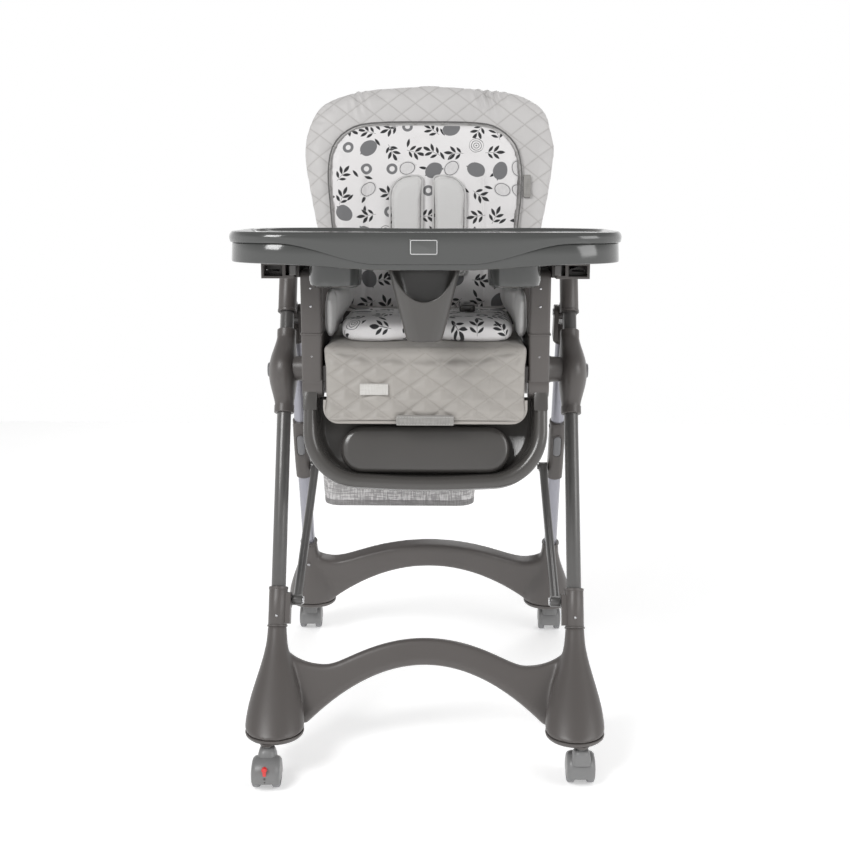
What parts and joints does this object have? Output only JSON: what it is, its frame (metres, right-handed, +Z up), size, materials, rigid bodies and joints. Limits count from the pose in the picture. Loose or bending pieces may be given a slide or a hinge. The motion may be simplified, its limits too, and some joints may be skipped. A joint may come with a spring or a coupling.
{
  "type": "baby high chair",
  "caption": "Folding baby high chair on arched castered bases, with a sliding seat, reclining quilted back, tray, footrest and basket.",
  "frame": {"origin": "on the floor, at the middle of the footprint", "axes": "+X right side seen from the front, -Y front, +Z up"},
  "size_m": [0.574, 0.7066, 1.0887],
  "materials": {
    "base_plastic": "satin moulded plastic",
    "front_tube": "satin powder coat",
    "rear_tube": "silver powder coat",
    "steel": "bright steel",
    "button_grey": "satin",
    "dark_plastic": "satin",
    "footrest_plastic": "semi gloss",
    "tray_gloss": "high gloss",
    "badge_plate": "gloss with a bright rim",
    "caster_grey": "semi gloss",
    "caster_wheel": "soft tread",
    "brake_red": "gloss",
    "basket_fabric": "melange weave",
    "cover_light": "quilted wipe-clean cover",
    "cover_quilt": "quilted wipe-clean cover",
    "insert_print": "printed cotton",
    "pad_fabric": "fine weave"
  },
  "bodies": {
    "front_frame": {"front_base": "base_plastic", "front_tube_left": "front_tube", "front_tube_right": "front_tube", "front_collar_left": "base_plastic", "front_collar_right": "base_plastic", "front_knuckle_left": "base_plastic", "front_knuckle_right": "base_plastic", "frame_pins": "steel"},
    "rear_frame": {"rear_base": "base_plastic", "rear_tube_left": "rear_tube", "rear_tube_right": "rear_tube", "rear_knuckle_left": "base_plastic", "rear_knuckle_right": "base_plastic"},
    "seat": {"carriage_left": "base_plastic", "carriage_right": "base_plastic", "seat_shell": "base_plastic", "side_frame_left": "base_plastic", "side_frame_right": "base_plastic", "backrest_pins": "steel", "footrest_pins": "steel", "seat_cushion": "cover_quilt", "insert_seat": "insert_print", "side_wings": "cover_light", "buckle": "dark_plastic", "basket": "basket_fabric"},
    "backrest": {"backrest_shell": "base_plastic", "back_cushion": "cover_light", "insert_back": "insert_print", "shoulder_pads": "pad_fabric"},
    "recline_handle": {"recline_handle": "dark_plastic"},
    "footrest": {"footrest_dish": "footrest_plastic", "foot_plate": "footrest_plastic", "leg_pad": "cover_quilt"},
    "tray": {"tray_base": "tray_gloss", "tray_rail_left": "base_plastic", "tray_rail_right": "base_plastic", "crotch_post": "dark_plastic"},
    "tray_insert": {"tray_insert": "tray_gloss", "badge": "badge_plate"},
    "lock_slider_left": {"lock_slider_left": "base_plastic"},
    "fold_button_left": {"fold_button_left": "button_grey"},
    "brace_left": {"brace_left": "rear_tube"},
    "lock_slider_right": {"lock_slider_right": "base_plastic"},
    "fold_button_right": {"fold_button_right": "button_grey"},
    "brace_right": {"brace_right": "rear_tube"},
    "height_button_left": {"height_button_left": "button_grey"},
    "height_button_right": {"height_button_right": "button_grey"},
    "tray_latch_left": {"tray_latch_left": "base_plastic"},
    "tray_latch_right": {"tray_latch_right": "base_plastic"},
    "caster_front_left": {"caster_hood_front_left": "caster_grey"},
    "wheels_front_left": {"caster_wheels_front_left": "caster_wheel"},
    "caster_front_right": {"caster_hood_front_right": "caster_grey"},
    "wheels_front_right": {"caster_wheels_front_right": "caster_wheel"},
    "caster_rear_left": {"caster_hood_rear_left": "caster_grey"},
    "wheels_rear_left": {"caster_wheels_rear_left": "caster_wheel"},
    "caster_rear_right": {"caster_hood_rear_right": "caster_grey"},
    "wheels_rear_right": {"caster_wheels_rear_right": "caster_wheel"},
    "brake_lever_left": {"brake_lever_left": "brake_red"},
    "brake_lever_right": {"brake_lever_right": "brake_red"}
  },
  "joints": [
    {"name": "fold", "type": "hinge", "parent": "front_frame", "child": "rear_frame", "pos_m": [0, 0.09236, 0.69412], "axis": [-1, 0, 0], "range_deg": [0, 34]},
    {"name": "lock_slide_left", "type": "slide", "parent": "rear_frame", "child": "lock_slider_left", "axis": [0, -0.3132, 0.9497], "range_m": [-0.002, 0.175]},
    {"name": "fold_button_press_left", "type": "slide", "parent": "lock_slider_left", "child": "fold_button_left", "axis": [0, 0.9497, 0.3132], "range_m": [0, 0.002], "stiffness_N_per_m": 400},
    {"name": "brace_hinge_left", "type": "hinge", "parent": "front_frame", "child": "brace_left", "pos_m": [0, -0.13586, 0.23782], "axis": [1, 0, 0], "range_deg": [-1, 40]},
    {"name": "lock_slide_right", "type": "slide", "parent": "rear_frame", "child": "lock_slider_right", "axis": [0, -0.3132, 0.9497], "range_m": [-0.002, 0.175]},
    {"name": "fold_button_press_right", "type": "slide", "parent": "lock_slider_right", "child": "fold_button_right", "axis": [0, 0.9497, 0.3132], "range_m": [0, 0.002], "stiffness_N_per_m": 400},
    {"name": "brace_hinge_right", "type": "hinge", "parent": "front_frame", "child": "brace_right", "pos_m": [0, -0.13586, 0.23782], "axis": [1, 0, 0], "range_deg": [-1, 40]},
    {"name": "seat_height", "type": "slide", "parent": "front_frame", "child": "seat", "axis": [0, 0.4226, 0.9063], "range_m": [-0.24, 0]},
    {"name": "height_button_press_left", "type": "slide", "parent": "seat", "child": "height_button_left", "axis": [1, 0, 0], "range_m": [0, 0.004], "stiffness_N_per_m": 400},
    {"name": "height_button_press_right", "type": "slide", "parent": "seat", "child": "height_button_right", "axis": [-1, 0, 0], "range_m": [0, 0.004], "stiffness_N_per_m": 400},
    {"name": "recline", "type": "hinge", "parent": "seat", "child": "backrest", "pos_m": [0, 0.062, 0.665], "axis": [-1, 0, 0], "range_deg": [0, 30]},
    {"name": "recline_squeeze", "type": "slide", "parent": "backrest", "child": "recline_handle", "axis": [0, 0.2924, 0.9563], "range_m": [0, 0.008], "stiffness_N_per_m": 400},
    {"name": "footrest_tilt", "type": "hinge", "parent": "seat", "child": "footrest", "pos_m": [0, -0.183, 0.615], "axis": [-1, 0, 0], "range_deg": [0, 40]},
    {"name": "tray_slide", "type": "slide", "parent": "seat", "child": "tray", "axis": [0, -0.9986, 0.0523], "range_m": [0, 0.06]},
    {"name": "tray_lift", "type": "slide", "parent": "tray", "child": "tray_insert", "axis": [0, 0.0523, 0.9986], "range_m": [0, 0.1]},
    {"name": "tray_latch_press_left", "type": "slide", "parent": "tray", "child": "tray_latch_left", "axis": [-1, 0, 0], "range_m": [0, 0.004], "stiffness_N_per_m": 400},
    {"name": "tray_latch_press_right", "type": "slide", "parent": "tray", "child": "tray_latch_right", "axis": [1, 0, 0], "range_m": [0, 0.004], "stiffness_N_per_m": 400},
    {"name": "swivel_front_left", "type": "hinge", "parent": "front_frame", "child": "caster_front_left", "pos_m": [-0.247, -0.312, 0.04], "axis": [0, 0, 1], "continuous": true},
    {"name": "roll_front_left", "type": "hinge", "parent": "caster_front_left", "child": "wheels_front_left", "pos_m": [-0.247, -0.324, 0.023], "axis": [1, 0, 0], "continuous": true},
    {"name": "swivel_front_right", "type": "hinge", "parent": "front_frame", "child": "caster_front_right", "pos_m": [0.247, -0.312, 0.04], "axis": [0, 0, 1], "continuous": true},
    {"name": "roll_front_right", "type": "hinge", "parent": "caster_front_right", "child": "wheels_front_right", "pos_m": [0.247, -0.3, 0.023], "axis": [1, 0, 0], "continuous": true},
    {"name": "swivel_rear_left", "type": "hinge", "parent": "rear_frame", "child": "caster_rear_left", "pos_m": [-0.247, 0.314, 0.04], "axis": [0, 0, 1], "continuous": true},
    {"name": "roll_rear_left", "type": "hinge", "parent": "caster_rear_left", "child": "wheels_rear_left", "pos_m": [-0.247, 0.326, 0.023], "axis": [1, 0, 0], "continuous": true},
    {"name": "swivel_rear_right", "type": "hinge", "parent": "rear_frame", "child": "caster_rear_right", "pos_m": [0.247, 0.314, 0.04], "axis": [0, 0, 1], "continuous": true},
    {"name": "roll_rear_right", "type": "hinge", "parent": "caster_rear_right", "child": "wheels_rear_right", "pos_m": [0.247, 0.326, 0.023], "axis": [1, 0, 0], "continuous": true},
    {"name": "brake_left", "type": "hinge", "parent": "caster_front_left", "child": "brake_lever_left", "pos_m": [-0.247, -0.343, 0.031], "axis": [1, 0, 0], "range_deg": [0, 15]},
    {"name": "brake_right", "type": "hinge", "parent": "caster_front_right", "child": "brake_lever_right", "pos_m": [0.247, -0.281, 0.031], "axis": [-1, 0, 0], "range_deg": [0, 15]}
  ],
  "couplings": [
    {"joint": "lock_slide_left", "follows": "fold", "m_per_rad": 0.27333},
    {"joint": "brace_hinge_left", "follows": "fold", "ratio": 1.0407},
    {"joint": "lock_slide_right", "follows": "fold", "m_per_rad": 0.27333},
    {"joint": "brace_hinge_right", "follows": "fold", "ratio": 1.0407}
  ]
}
